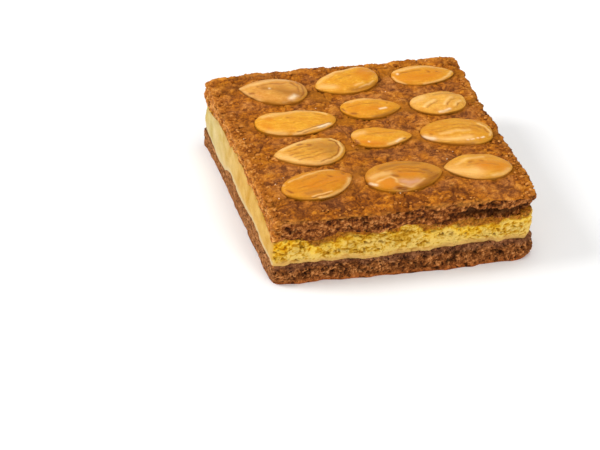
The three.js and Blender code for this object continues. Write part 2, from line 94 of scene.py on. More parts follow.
# Each mark: its reach, then x and y of each corner of the line that it follows (mm from the almond's
# middle, at the level of its foot, as seen from the camera)
# Some marks are painted highlights: the near-white glints, and in part the lighter streaks along the almonds'
# edges.
MARKS = {
    "almond_01": {
        "pale_skin_and_painted_highlight": [(0.7, -10, 3, -6, 4.6, 0, 5.8, 6, 5.6), (1, -9, 1, -8, -2.5, -5.5, -4.5)],
        "dull": [(2.2, 2.5, 0, 4, -1.5, 7, -3), (1.1, -4, -6.5, 0, -8, 4, -7.8), (0.9, -2.2, 2, 0.2, 1)],
        "spot": [(0.55, -7.2, -0.2, -6.3, -0.4), (0.6, -7.6, -3, -6.9, -3.6)],
        "painted_highlight": [(0.4, -0.6, 1.5), (0.9, 4.3, -5.6, 5.8, -4.2)],
        "groove": [(0.3, 8.5, 3.5, 9.6, 1, 9, -3, 7, -5.5), (0.3, 6.5, 3.8, 8, 1, 7.6, -2),
            (0.25, -4, 3.6, 1, 4.2, 4.6, 3.4)],
    },
    "almond_02": {
        "pale_skin_and_painted_highlight": [(0.7, -9, 0, -6, 2.5, -2, 5.3, 3, 7.3, 7, 7.5), (1.6, -8, -2, -5, -3),
            (0.45, 2.2, -3.2, 4.8, -2), (0.4, 3.3, -4.7, 6, -3.2), (0.4, 6.3, -3.4, 8.3, -1.6)],
        "warm": [(1.9, 5.5, 3.6, 8.4, 3.2, 7, 1.5)],
        "dull": [(1.4, 1, -5.5, 5, -5, 8.5, -3)],
        "line": [(0.2, -3, 0.5, 1, 2.4, 5, 4)],
    },
    "almond_03": {
        "pale_skin_and_painted_highlight": [(0.7, -8.5, 3.5, -4, 4.5, 2, 4.9, 6, 4.6, 9, 2.8)],
        "groove": [(0.3, -7.5, 1.8, -4, 2.7, 0, 3)],
        "warm": [(2.4, -5, -1.2, -3, -0.7, 0, -1.2, 3, -0.2)],
        "spot": [(0.5, 2.3, 1.8), (0.4, 5, 1.7)],
        "ridge": [(0.5, -9.5, 0.3, -8.7, -2.2, -7, -4.3),
            (0.5, -1, -4.9, 2, -4.3, 5, -3.5, 8, -1.3, 9.5, 0.8)],
        "painted_highlight": [(0.45, -7.8, 2)],
    },
    "almond_04": {
        "pale_skin_and_painted_highlight": [(0.9, -9, 4.9, -3, 5.9, 4, 6.3, 8, 5.3), (1.3, -9, -4, -5, -5.8)],
        "spot": [(0.35, -1.7, 2.9, -1.5, 2.9), (0.25, -1, -5.6, 3, -4.3, 7, -2.9, 10, -1.8)],
        "warm": [(1.3, -7.6, 3.6, -7, 3), (1.2, -10, 0.2, -8.5, -1.5)],
        "ridge": [(0.85, -2, -6.9, 1, -5.6, 4, -4.8, 7, -3.9, 9.6, -2.7), (0.3, 7.6, 4.8, 10.4, 2.6)],
        "painted_highlight": [(0.45, 6, -3.9, 9.4, -2.8)],
        "groove": [(0.2, 0.5, -6.3, 5, -4.8, 8, -3.7), (0.25, 7, 4.1, 9.8, 2)],
    },
    "almond_05": {
        "warm": [(1.5, -4, 0, -1, -0.2, 2, 0.3)],
        "spot": [(0.8, -6.4, -2.2, -5.5, -2.5), (0.45, -8.7, 0.9, -8.3, 0.1), (0.3, 5.8, 1.9)],
        "pale_skin_and_painted_highlight": [(0.6, -7, 4.3, -3, 5.2, 2, 5.1, 6, 4.3)],
        "painted_highlight": [(0.35, 2.7, -1.1, 4.6, -0.8)],
        "dull": [(0.9, 0, -5.2, 4, -4.1, 7, -2.7)],
        "line": [(0.25, -7, 1.5, -2, 2.6, 3, 2.4)],
    },
    "almond_06": {
        "pale_skin_and_painted_highlight": [(1.6, -7, 2.6, -4, 4.1)],
        "ridge": [(0.6, -4.8, -1.5, -3, 0.3, -0.5, 1.7), (0.45, 1.6, -1.3, 3, 0.9, 5, 2),
            (0.4, 4.3, -2.6, 5.5, -0.9, 7, 0.1)],
        "groove": [(0.25, -4, -2, -2, -0.1, 0.4, 1.2), (0.25, 2.5, -1.5, 3.9, 0.3, 5.8, 1.4),
            (0.25, 5.2, -2.6, 6.4, -1.2), (0.3, 0, 4.6, 4, 5, 6.6, 4.3)],
        "painted_highlight": [(0.55, -1, -5.2, 1, -4.8, 2.2, -4.1)],
        "notch": [(0.9, 7.9, 5.2)],
    },
    "almond_07": {
        "pale_skin_and_painted_highlight": [(1.7, -9, -0.3, -7, -2.3, -4, -5.3, 0, -6.8, 4, -6.4),
            (0.8, -8, 2.2, -4, 4.7, 0, 6.2, 5, 6.5)],
        "dull": [(2.4, 3, 2.2, 7, 1.7, 6, -0.8)],
        "groove": [(0.22, -6, 1.2, -2, 2.6, 2, 3.4), (0.22, -6, -0.6, -2, 0.6, 3, 1.7),
            (0.22, -5, -2.2, -1, -1, 4, 0.2), (0.22, -4, -3.6, 1, -2.4, 5, -1.2)],
        "spot": [(0.5, -2.2, 4.3, -1, 4.7), (0.35, 0.5, 4, 1.6, 3.8),
            (0.25, 7.5, 5.4, 9.3, 3.4, 9.4, 0.7, 8, -2.3, 5.5, -4.6, 2, -5.8)],
        "ridge": [(0.4, 8.2, 5.8, 10, 3.6, 10.2, 0.2, 8.6, -2.8, 6, -5.2, 3, -6.5)],
    },
    "almond_08": {
        "pale_skin_and_painted_highlight": [(1.1, -8, 2.4, -5, 3.2)],
        "warm": [(1.5, -6.3, -1.6, -4, -3.1, -1, -3.6)],
        "painted_highlight": [(0.3, -4.4, -1.9), (0.45, 3.4, -3.4, 5, -2.3)],
        "ridge": [(0.8, 1.2, -4.2, 3, -3.6, 4.8, -2.5, 5.8, -2)],
        "spot": [(0.35, 6, -2.2, 6.6, -2), (0.6, -8.4, -0.4, -7.9, -2.4)],
        "line": [(0.25, -5, 1.5, 0, 2.4, 5, 1.6)],
    },
    "almond_09": {
        "line": [(0.3, -7, 3, -2, 4.4, 3, 4.8, 7, 3.4, 8.3, 1.4), (0.3, -6, 1.6, -1, 2.6, 4, 2.8, 6.6, 1.2)],
        "pale_skin_and_painted_highlight": [(0.6, -5, 0.5, 0, 1.2, 4, 1), (1.3, -6, -2.4, -1, -3, 3, -2.6)],
        "dull": [(0.9, -6, -5, -1, -6.3, 3, -6.5)],
        "painted_highlight": [(1.1, -10.2, -0.4, -9, -1, -8, -1.6), (0.3, 2, -4, 2.3, -4.1), (0.3, 3.2, -4.2, 4, -4.1),
            (0.3, 5.2, -3.8, 5.5, -3.8), (0.3, 6.6, -3.6, 7.2, -3.3)],
        "warm": [(0.9, -7.2, 1.6)],
        "spot": [(0.5, -7.5, 1)],
        "ridge": [(0.35, 8, 4.4, 9.8, 2, 10.2, -1, 9.4, -3)],
        "groove": [(0.25, 7.4, 3.8, 9.1, 1.6, 9.4, -1)],
    },
    "almond_10": {
        "pale_skin_and_painted_highlight": [(0.3, -8, 2.2, -3, 4.7, 3, 6.6, 7, 6.4), (0.5, -9.8, 1)],
        "warm": [(2.6, -1, 0, 3, 1.2, 8, 2.2)],
        "spot": [(0.5, 4.4, 3.6, 5, 3.2), (0.5, -9, -1.6, -8.2, -3)],
        "line": [(0.25, -6, -1.2, -1, 0, 4, 2.6), (0.25, -6, -3, 0, -1.8, 6, 0.4), (0.25, -4, 2.2, 1, 4.2)],
        "dull": [(1, -4, -4.5, 0, -3.8)],
        "ridge": [(0.6, -1, -7.4, 3, -6.4, 6.5, -4.2, 8.8, -1.4, 9.8, 1), (0.3, -3, -6.4, 0, -5.4, 3, -4.7)],
        "groove": [(0.2, -3, -7, 0, -6.1, 2, -5.6)],
        "notch": [(0.9, 9.5, 4.5)],
    },
    "almond_11": {
        "dull": [(2.2, 3.5, -5.4, 6, -4, 9, -1.2), (1.6, 7, 1.9, 8, -0.3), (0.9, -6, 5.3, 0, 6.3, 6, 5.8)],
        "brown": [(1.5, 2.8, -6.4, 6.4, -3.6, 9.6, -1.2)],
        "line": [(0.3, -5, 3.7, 0, 4.6, 5, 3.9, 8, 1.7)],
        "groove": [(0.35, -1, 2.8, 3, 2.5, 6, 0.8)],
        "warm": [(1.1, -1, 1.2, 3, 0.8)],
        "pale_skin_and_painted_highlight": [(1.2, -9.6, 0.6, -7.4, 2, -4, 2.4),
            (0.45, -8.5, -1.6, -6, -0.2, -4, 0.4, -3, -1.4, -3.2, -3),
            (0.4, -2.5, -4.2, 0, -6, 2.6, -4.4, 5, -2.2)],
        "bulge": [(1.9, -6.6, -2.2, -5, -2, -5, -3.8, -6.5, -4)],
        "facet": [(1.35, -1.2, -2.6, 1, -3, 2.8, -2.8, 0, -4.4)],
        "spot": [(0.75, -3.2, 1, -2.2, 0.5), (0.3, 8.3, 0.4)],
        "hole": [(1.1, -3.4, -6.4, -1.8, -6.8)],
        "painted_highlight": [(0.65, -11, -2.4, -9.6, -3)],
    },
    "almond_12": {
        "pale_skin_and_painted_highlight": [(2.8, -8, -0.5, -5, -1.5, -2, -2.5, -4, -4), (0.9, 3, -5, 6, -4.6, 8.5, -2.4),
            (0.6, -6, 3, -2, 5.2, 3, 5.4)],
        "warm": [(3, 1.5, 0.8, 4, 0.2, 7, -1.2), (0.9, 1.4, 3.4, 3, 2.6)],
        "spot": [(0.6, -1.8, 3, -1, 3.5), (0.4, 1.6, 3.3, 2.3, 3)],
        "line": [(0.25, -3, 1.6, 2, 1.8, 6, 0.6)],
    },
}

# In the almonds' order, how far each one's own colour prevails over the golden one, and that colour
ALMOND_TINTS = [
    (0.6, 208, 148, 78), (0.2, 230, 164, 44), (0.4, 222, 144, 26), (0.3, 232, 166, 46),
    (0.4, 226, 148, 22), (0.5, 234, 180, 88), (0.55, 214, 156, 62), (0.3, 228, 156, 40),
    (0.5, 210, 145, 38), (0.6, 200, 120, 0), (0.65, 194, 122, 24), (0.5, 216, 156, 60),
]

# ---- Crumbs and sugar crystals that lie on the dough (mm) ----
LOOSE_CRUMBS = [
    (-31.2, -5.0, 0.75), (-29.6, -6.4, 0.7), (-28.6, -5.2, 0.8), (-30.4, -7.4, 0.6), (-32.0, -6.2, 0.55),
    (-27.9, -7.0, 0.5), (-29.9, -8.4, 0.55), (-31.6, -4.0, 0.5), (-28.4, -4.0, 0.55), (-32.6, -7.6, 0.5),
    (-5.4, -2.7, 0.6), (-4.9, -4.2, 0.5), (-5.7, -5.0, 0.5), (-4.8, -6.9, 0.4), (-6.4, -3.8, 0.4),
    (0.7, -31.6, 0.7), (2.7, -32.2, 0.6), (1.6, -32.8, 0.5), (5.0, -32.0, 0.45), (-0.6, -32.4, 0.4),
    (8.6, 6.3, 0.7), (-4.8, 11.8, 0.8), (-5.6, 18.6, 0.6), (-7.4, 17.2, 0.5), (-6.6, 13.6, 0.5),
    (-33.8, -21.8, 0.45), (-33.2, -24.6, 0.5), (-32.4, -20.6, 0.35), (36.4, 12.0, 0.6), (35.0, -6.0, 0.5),
    (36.2, -10.4, 0.6), (37.0, -14.0, 0.5), (34.6, -12.2, 0.4), (18.0, -12.6, 0.45), (20.6, -11.8, 0.4),
]
CRYSTALS = [
    (-30.5, -18.0), (-34.6, -28.7), (-35.2, -26.4), (-33.6, -21.0), (-2.6, -31.6), (0.2, -32.6), (2.2, -33.2),
    (31.6, -7.0), (35.4, -7.7), (19.3, -17.4), (22.6, -12.9), (-10.6, 18.2), (13.4, 24.6), (-36.0, 6.0),
]

# For each side, how many smaller crumbs lie near it and how near at least
EDGE_CRUMBS = (("left", 100, 1.5), ("front", 55, 0.8), ("right", 90, 0.2), ("back", 35, 0.2))

# ---- How fine the meshes are (mm) ----
CRUST_STEP = 0.34
CRUST_RISE = 0.24
FILLING_STEP = 0.21
FILLING_RISE = 0.17
RIM = 0.5  # how far the top crust's upper edge is rounded
RIM_SHARE = 0.95  # how far up its side the rounding starts
RIM_RINGS = 4
EDGE_REACH = 6.0  # how far in the top's grid follows its edge
ALMOND_BANDS, ALMOND_FACETS = 110, 96
WORN_DEPTH = 0.55  # how far the worn edge lies under the skin

# ---- The camera, from the photograph's perspective ----
IMAGE_WIDTH = 600.0
FOCAL_PIXELS = 2400.0
SENSOR = 36.0
CAMERA_AZIMUTH, CAMERA_ELEVATION, CAMERA_ROLL = -17.292, 32.781, 3.367
CAMERA_DISTANCE = 722.343
CAMERA_AIM = (18.664, 8.143)  # where the axis passes the square's bottom middle, right and up
VIEW_SLIDE = (0.46, 1.48)  # how far a point 1 mm up seems to lie along X and Y


# ---- Seeded noise ----
def cell_value(i, j, k):
    """A fixed number from -1 to 1 for each lattice point."""
    i, j, k = (np.asarray(v).astype(np.int64).astype(np.uint32) for v in (i, j, k))
    h = i * np.uint32(374761393) + j * np.uint32(668265263) + k * np.uint32(1440662683)
    h = (h ^ (h >> np.uint32(13))) * np.uint32(1274126177)
    h = (h ^ (h >> np.uint32(16))) * np.uint32(2246822519)
    return (h ^ (h >> np.uint32(15))) / 2147483648.0 - 1.0


def noise(points, scale):
    """Smooth noise from -1 to 1, the same as in the solids. scale is the size of its lumps."""
    p = points / scale
    cell = np.floor(p)
    u, v, w = (3 * t**2 - 2 * t**3 for t in (p - cell).T)
    total = 0.0
    for a, b, c in itertools.product((0, 1), repeat=3):
        share = (u if a else 1 - u) * (v if b else 1 - v) * (w if c else 1 - w)
        total = total + share * cell_value(cell[:, 0] + a, cell[:, 1] + b, cell[:, 2] + c)
    return total


def octaves(points, scale, count):
    """Noise at that scale and at count - 1 finer ones, each half as strong as the last."""
    return sum(noise(points + 31.7 * n, scale / 2**n) / 2**n for n in range(count))


def billows(points, scale, count):
    """Puffy lumps with sharp creases between them, from about -0.7 in a crease to 1."""
    return sum((2.6 * np.abs(noise(points + 17.3 * n, scale / 2**n)) - 0.7) / 2**n for n in range(count))


def warped(points, scale, amount):
    """Points shifted by noise, so that what is drawn with them isn't regular."""
    return points + amount * np.stack([noise(points + 19.0 * n, scale) for n in (1, 2, 3)], axis=1)


def cells(points, size, seed):
    """Distances to the nearest and the next of scattered points, in sizes, and the nearest's own number."""
    p = points / size
    base = np.floor(p)
    first = np.full(len(p), 9.0)
    second = np.full(len(p), 9.0)
    own = np.zeros(len(p))
    for corner in itertools.product((-1, 0, 1), repeat=3):
        cell = base + corner
        i, j, k = cell.T
        jitter = np.stack([cell_value(i + seed, j, k + 71 * axis) for axis in (1, 2, 3)], axis=1)
        distance = np.linalg.norm(cell + 0.5 + 0.45 * jitter - p, axis=1)
        number = 0.5 + 0.5 * cell_value(i, j + seed, k - 500)
        nearer = distance < first
        second = np.where(nearer, first, np.minimum(second, distance))
        own = np.where(nearer, number, own)
        first = np.minimum(first, distance)
    return first, second, own


def grains(points, size, seed):
    """Round grains: their height from 0 to 1, the narrow gaps between them, and each grain's own number."""
    first, second, own = cells(points, size, seed)
    height = np.sqrt(unit(1 - (first / 0.9) ** 2)) * (0.75 + 0.25 * own)
    return height, 1 - smooth(second - first, 0.0, 0.22), own


def at(x, y, z):
    """Points from coordinates, any of which may be one number."""
    return np.stack(np.broadcast_arrays(x, y, z), axis=-1).astype(float)


def unit(value):
    """The value held between 0 and 1."""
    return np.clip(value, 0, 1)


def bell(distance):
    """1 at no distance, and softly less further off."""
    return np.exp(-(distance**2))


def smooth(value, low, high):
    """Rises softly from 0 at low to 1 at high."""
    t = unit((value - low) / (high - low))
    return t * t * (3 - 2 * t)


# ---- The levels where the layers meet, as in the solids ----
def wave(distance, length, crest):
    return np.cos(2 * np.pi * (distance - crest) / length)


def near_side(distance, reach):
    return unit(1 - distance / reach)


def filling_bottom(x, y):
    left_side = near_side(WIDTH / 2 + x, 14) * (1 - near_side(DEPTH / 2 + y, 10))
    thinner = 2.4 / (1 + np.exp((12.5 - y) / 1.2))
    corner = near_side(WIDTH / 2 - x, 4) * near_side(DEPTH / 2 + y, 8)
    left_wave = 0.7 + 0.5 * wave(y, 27, -17.5) - thinner
    return FILLING_BOTTOM + 0.35 * wave(x, 62, 22) + left_side * left_wave - 0.8 * corner


def filling_top(x, y):
    left_side = near_side(WIDTH / 2 + x, 18)
    swell = 2.2 - 3.6 * ((y + 4) / 40) ** 2
    return FILLING_TOP + 0.7 * wave(x, 19, -17.5) + 0.5 * wave(y, 22.5, 0) + left_side * swell


def dough_top(x, y):
    front_side = near_side(DEPTH / 2 + y, 25)
    back_side = near_side(DEPTH / 2 - y, 12)
    bumps = 0.3 * noise(at(x, y, 80), 13) + 0.35 * noise(at(x, y, 90), 4.6)
    return HEIGHT - 0.3 + front_side * 0.7 * wave(x, 50, 13) + 0.3 * back_side + bumps


# ---- The plan, a grid whose edge is the outline ----
class Plan:
    """The square's plan as a grid of points about step apart, drawn in by inset from the outline."""

    def __init__(self, step, inset=0.0):
        self.inset = inset
        self.columns = round(WIDTH / step)
        self.rows = round(DEPTH / step)

    def points(self, i, j):
        """The places of grid points. Near a corner, squares are drawn in to quarter circles."""
        half_width, half_depth = WIDTH / 2 - self.inset, DEPTH / 2 - self.inset
        x = (2 * i / self.columns - 1) * half_width
        y = (2 * j / self.rows - 1) * half_depth
        radius = np.maximum(np.array(CORNER_RADII)[2 * (y >= 0) + (x >= 0)] - self.inset, 0.3)
        past_x = np.maximum(np.abs(x) - (half_width - radius), 0)
        past_y = np.maximum(np.abs(y) - (half_depth - radius), 0)
        drawn_in = 1 - np.maximum(past_x, past_y) / np.maximum(np.hypot(past_x, past_y), 1e-9)
        return x - np.sign(x) * past_x * drawn_in, y - np.sign(y) * past_y * drawn_in

    def outline_cells(self):
        """The grid points round the edge, anticlockwise from the front left corner."""
        c, r = self.columns, self.rows
        i = np.concatenate([np.arange(c), np.full(r, c), np.arange(c, 0, -1), np.zeros(r, int)])
        j = np.concatenate([np.zeros(c, int), np.arange(r), np.full(c, r), np.arange(r, 0, -1)])
        return i, j

    def outline(self):
        """The outline's x and y, and at each point the direction out of the square."""
        x, y = self.points(*self.outline_cells())
        along_x, along_y = (np.roll(v, -1) - np.roll(v, 1) for v in (x, y))
        length = np.hypot(along_x, along_y)
        return x, y, at(along_y / length, -along_x / length, 0.0)


# ---- Meshes as arrays ----
class Shell:
    """Collects rings of points, all with the same count, and faces between them."""

    def __init__(self):
        self.points, self.faces, self.count = [], [], 0

    def add(self, points):
        """Adds points and gives their numbers."""
        self.points.append(points)
        self.count += len(points)
        return np.arange(self.count - len(points), self.count)

    def band(self, lower, upper):
        """Quads between two rings of numbers."""
        next_lower, next_upper = np.roll(lower, -1), np.roll(upper, -1)
        self.faces.append(np.stack([lower, next_lower, next_upper, upper], axis=1))

    def fan(self, ring, middle, upwards):
        """Triangles from a ring to a point in its middle."""
        top = self.add(np.asarray([middle], float))[0]
        around = np.roll(ring, -1)
        first, second = (ring, around) if upwards else (around, ring)
        self.faces.append(np.stack([first, second, np.full(len(ring), top)], axis=1))

    def done(self):
        """The points, the faces, and smooth normals for which each face counts by its area."""
        points = np.concatenate(self.points)
        normals = np.zeros_like(points)
        for group in self.faces:
            corners = points[group]
            area = np.cross(corners[:, 2] - corners[:, 0], corners[:, -1] - corners[:, 1])
            for corner in group.T:
                np.add.at(normals, corner, area)
        length = np.linalg.norm(normals, axis=1)
        return points, self.faces, normals / np.maximum(length, 1e-12)[:, None]


def put(name, data):
    """Puts an object with that data into the scene."""
    made = bpy.data.objects.new(name, data)
    bpy.context.scene.collection.objects.link(made)
    return made


def make_object(name, points, faces, material, **attributes):
    """A smooth mesh object from points in the plan's millimetres, with attributes at its points."""
    mesh = bpy.data.meshes.new(name)
    placed = (points + PLAN_MIDDLE) * 0.001
    corners = [face for group in faces for face in group.tolist()]
    mesh.from_pydata(placed.tolist(), [], corners, shade_flat=False)
    mesh.validate()
    for key, values in attributes.items():
        kind, slot = ("FLOAT_VECTOR", "vector") if values.ndim == 2 else ("FLOAT", "value")
        layer = mesh.attributes.new(key, kind, "POINT")
        layer.data.foreach_set(slot, values.astype(np.float32).ravel())
    mesh.materials.append(material)
    return put(name, mesh)


def ball():
    """The points and triangles of a small round shape, 1 in radius."""
    shape = bmesh.new()
    bmesh.ops.create_icosphere(shape, subdivisions=2, radius=1.0)
    shape.verts.index_update()
    points = np.array([corner.co for corner in shape.verts])
    triangles = np.array([[corner.index for corner in face.verts] for face in shape.faces])
    shape.free()
    return points, triangles


# ---- Almond places and the dough around them ----
def almond_width(s, point, blunt):
    """Half the width along the length, as a share of its greatest. s runs from -1, blunt end, to 1, tip."""
    s = np.clip(s, -1, 1)
    peak = (blunt - point) / (blunt + point)
    greatest = (1 - peak) ** point * (1 + peak) ** blunt
    return (1 - s) ** point * (1 + s) ** blunt / greatest


def almond_measures(name, x, y):
    """Places in an almond's own measures: s along it to its tip and t across it, each 1 at its side."""
    ax, ay, length, width, turn, tip, _, _, bend = ALMONDS[name]
    c, s = math.cos(math.radians(turn)), math.sin(math.radians(turn))
    along = tip * ((x - ax) * c + (y - ay) * s) / (length / 2)
    across = tip * (-(x - ax) * s + (y - ay) * c) / (width / 2)
    return along, across - tip * bend * unit(1 - along**2)


def line_distance(points, corners):
    """Distances from points in the plane to the line through those corners, or to the only one."""
    nearest = np.full(len(points), 1e9)
    for start, end in zip(corners, corners[1:] if len(corners) > 1 else corners):
        step = end - start
        along = unit((points - start) @ step / max(step @ step, 1e-9))
        nearest = np.minimum(nearest, np.linalg.norm(points - start - along[:, None] * step, axis=1))
    return nearest


def almond_rise(width):
    """How far an almond rises above its widest outline."""
    return ALMOND_RISE * width - ALMOND_LIFT


def almond_level(name):
    """The level that the dough would have at an almond's middle."""
    x, y = ALMONDS[name][:2]
    return float(dough_top(np.array([x]), np.array([y]))[0])


def dough_surface(x, y):
    """The top of the dough, with the lips that it forms round the almonds and their places in it.

    The second value is how much glaze has run there from the almonds.
    """
    z = dough_top(x, y)
    glaze = np.zeros_like(z)
    waviness = 0.5 + 0.5 * noise(at(x, y, 40), 3.1)
    for name, (ax, ay, _, width, _, _, point, blunt, _) in ALMONDS.items():
        near = np.hypot(x - ax, y - ay) < 18
        s, t = almond_measures(name, x[near], y[near])
        level = almond_level(name)
        share = almond_width(s, point, blunt)
        past = (np.hypot(s, t) / np.maximum(np.hypot(s, share), 0.2) - 1) * width / 2
        lip = 0.3 * bell((past - 0.9) / 0.8) * waviness[near]
        around = z[near] + lip
        # close to an almond the dough comes to the almond's own level
        around += (level - around) * 0.6 * bell(np.maximum(past, 0) / 2.0)
        under = level + ALMOND_LIFT - almond_rise(width) * np.sqrt(np.maximum(share**2 - t**2, 0)) - 0.12
        inside = np.abs(t) < share
        z[near] = np.where(inside, np.minimum(around, under), around)
        downhill = 0.35 + 0.65 * smooth((x[near] - ax) * 0.4 - (y[near] - ay) * 0.9, -2, 4)
        glaze[near] = np.maximum(glaze[near], downhill * bell(past / 0.75))
    return z, glaze


def crumb_places():
    """x, y, radius (mm) and whether it is a sugar crystal: the crumbs that lie on the dough."""
    chance = np.random.default_rng(7)
    places = [(x, y, radius, 0.0) for x, y, radius in LOOSE_CRUMBS]
    places += [(x, y, chance.uniform(0.12, 0.2), 1.0) for x, y in CRYSTALS]
    for side, count, nearest in EDGE_CRUMBS:
        for _ in range(count):
            inset = nearest + 3.4 * chance.random() ** 2
            along = chance.uniform(-0.96, 0.96)
            if side in ("front", "back"):
                x, y = along * WIDTH / 2, (DEPTH / 2 - inset) * (-1 if side == "front" else 1)
            else:
                x, y = (WIDTH / 2 - inset) * (-1 if side == "left" else 1), along * DEPTH / 2
            places.append((x, y, chance.uniform(0.22, 0.55), 0.0))
    return places


def worn_edge(flat):
    """How far the skin is worn off, from 1 at the left side's edge to 0 further in."""
    from_left = np.maximum(WIDTH / 2 + flat[:, 0] + 1.1 * octaves(flat + 8.0, 3.5, 2), 0)
    return unit(1.3 * bell(from_left / 2.7) + 0.35 * noise(flat + 8.0, 1.4) - 0.15)


# ---- The layers ----
def facing(out):
    """How much each point of an outline faces each side, from the directions out of it."""
    ways = {"front": (1, -1), "back": (1, 1), "left": (0, -1), "right": (0, 1)}
    return {side: np.maximum(sign * out[:, axis], 0) for side, (axis, sign) in ways.items()}


def sides(shell, plan, lower, upper, rise, push):
    """Rings from a layer's lower level to its upper one, about rise apart. Gives their numbers."""
    x, y, out = plan.outline()
    low, high = lower(x, y), upper(x, y)
    count = max(4, round(float(np.mean(high - low)) / rise))
    rings = []
    for share in np.linspace(0, 1, count + 1):
        points = at(x, y, low + (high - low) * share)
        rings.append(shell.add(points + push(points, facing(out), share)[:, None] * out))
    for a, b in zip(rings, rings[1:]):
        shell.band(a, b)
    return rings


def close_inside(shell, plan, ring, level, upwards, insets):
    """Closes a layer's end with rings drawn in from the outline and a fan."""
    x, y, out = plan.outline()
    for inset in insets:
        x_in, y_in = x - out[:, 0] * inset, y - out[:, 1] * inset
        new = shell.add(at(x_in, y_in, level(x_in, y_in)))
        shell.band(*((ring, new) if upwards else (new, ring)))
        ring = new
    shell.fan(ring, [0.0, 0.0, float(level(np.zeros(1), np.zeros(1))[0])], upwards)


def closed_layer(step, rise, push, insets, lower, upper):
    """A layer between two levels, with rings at those insets below: its points, faces and normals."""
    shell, plan = Shell(), Plan(step)
    rings = sides(shell, plan, lower, upper, rise, push)
    close_inside(shell, plan, rings[-1], upper, True, (2.5,))
    close_inside(shell, plan, rings[0], lower, False, insets)
    return shell.done()


def crack_depth(x, front, share):
    """How deep the crack in the upper crust's front side is, at a share of the side's height."""
    along = unit((x - CRACK["from"]) / (CRACK["to"] - CRACK["from"]))
    across = np.maximum(1 - ((share - CRACK["share"]) / CRACK["reach"]) ** 2, 0)
    return front * CRACK["depth"] * np.sqrt(np.sin(np.pi * along)) * across


def top_crust_push(points, side, share):
    """How far the upper crust stands out from the plan's outline, as in the solids."""
    x, y, _ = points.T
    back = side["back"] * (2.2 + 0.5 * wave(x, 50, -13) - 1.2 * near_side(WIDTH / 2 - x, 12))
    right = side["right"] * (1.5 + 0.7 * near_side(DEPTH / 2 - y, 35))
    spread = back + right + 0.4 * side["front"] + 0.3 * side["left"]
    baked = spread * min(1, share / 0.25) + 0.5 * side["front"] * share
    crags = 0.6 * noise(points, 2.4) + 0.35 * noise(points, 6)
    broken = near_side(WIDTH / 2 - x, 8) * near_side(DEPTH / 2 + y, 8) * (3.3 - 2.4 * share)
    return baked + crags - 0.2 - crack_depth(x, side["front"], share) - broken


def filling_push(points, side, share):
    """How far the paste stands out, as in the solids."""
    bulge = (0.35 + 0.5 * side["right"]) * np.sin(np.pi * share)
    inset = 0.6 - 0.55 * side["left"] - 0.3 * side["front"] - 0.5 * side["right"]
    crags = 0.5 * noise(points, 2.4) + 0.35 * noise(points, 7)
    return bulge - inset + (1 - 0.75 * side["left"]) * crags


def bottom_crust_push(points, side, share):
    """How far the lower crust stands out, as in the solids."""
    x, y, _ = points.T
    from_front, from_back, from_right = DEPTH / 2 + y, DEPTH / 2 - y, WIDTH / 2 - x
    front_foot = 0.5 + 1.1 * np.maximum(0, 1 - ((x - 14) / 32) ** 2)
    foot = (0.9 * side["right"] + side["front"] * front_foot) * (1 - share)
    ends = 0.7 * side["left"] * near_side(from_back, 12) + 1.1 * side["right"] * near_side(from_front, 16)
    corners = side["front"] * (1.4 * near_side(from_right, 6) + 1.9 * near_side(WIDTH / 2 + x, 8))
    corners = corners + 0.8 * side["left"] * near_side(from_front, 6)
    under = 0.2 + 0.7 * (side["back"] + side["right"]) + corners
    crags = (1 - 0.6 * side["left"]) * (0.5 * noise(points, 2.6) + 0.35 * noise(points, 6))
    return ends + foot - under * max(0.0, 1 - share / 0.5) ** 2 - 0.1 + crags


# ---- The fine surfaces ----
def crumb_relief(points, torn):
    """How far a broken crumb stands out, how much painted shade each point gets in pits and gaps, and its
    crumb's tone, partly painted light on the grains' tops.
    """
    flat = warped(points * (1.0, 1.0, 1.2), 1.5, 0.5)
    coarse, gap, own = grains(flat, 1.25, 11)
    fine, _, fine_own = grains(flat, 0.68, 23)
    puffs = billows(flat, 2.6, 2)
    pits = smooth(octaves(points * (1.0, 1.0, 1.7) + 7.0, 1.3, 2), 0.3, 0.75)
    relief = torn * (0.46 * (coarse - 0.6) + 0.24 * (fine - 0.6) + 0.16 * puffs - 0.95 * pits - 0.15 * gap)
    relief += 0.07 * octaves(points, 0.8, 2)
    # Painted shade: darker in the pits, the gaps and round the small grains.
    hollow_shade = unit(pits + 0.4 * gap + 0.8 * smooth(0.6 - fine, 0.0, 0.5))
    # Partly painted light: each grain's own tone, and lighter on the grains' tops.
    tone = 0.42 * own + 0.28 * fine_own + 0.3 * fine
    return relief, hollow_shade, tone


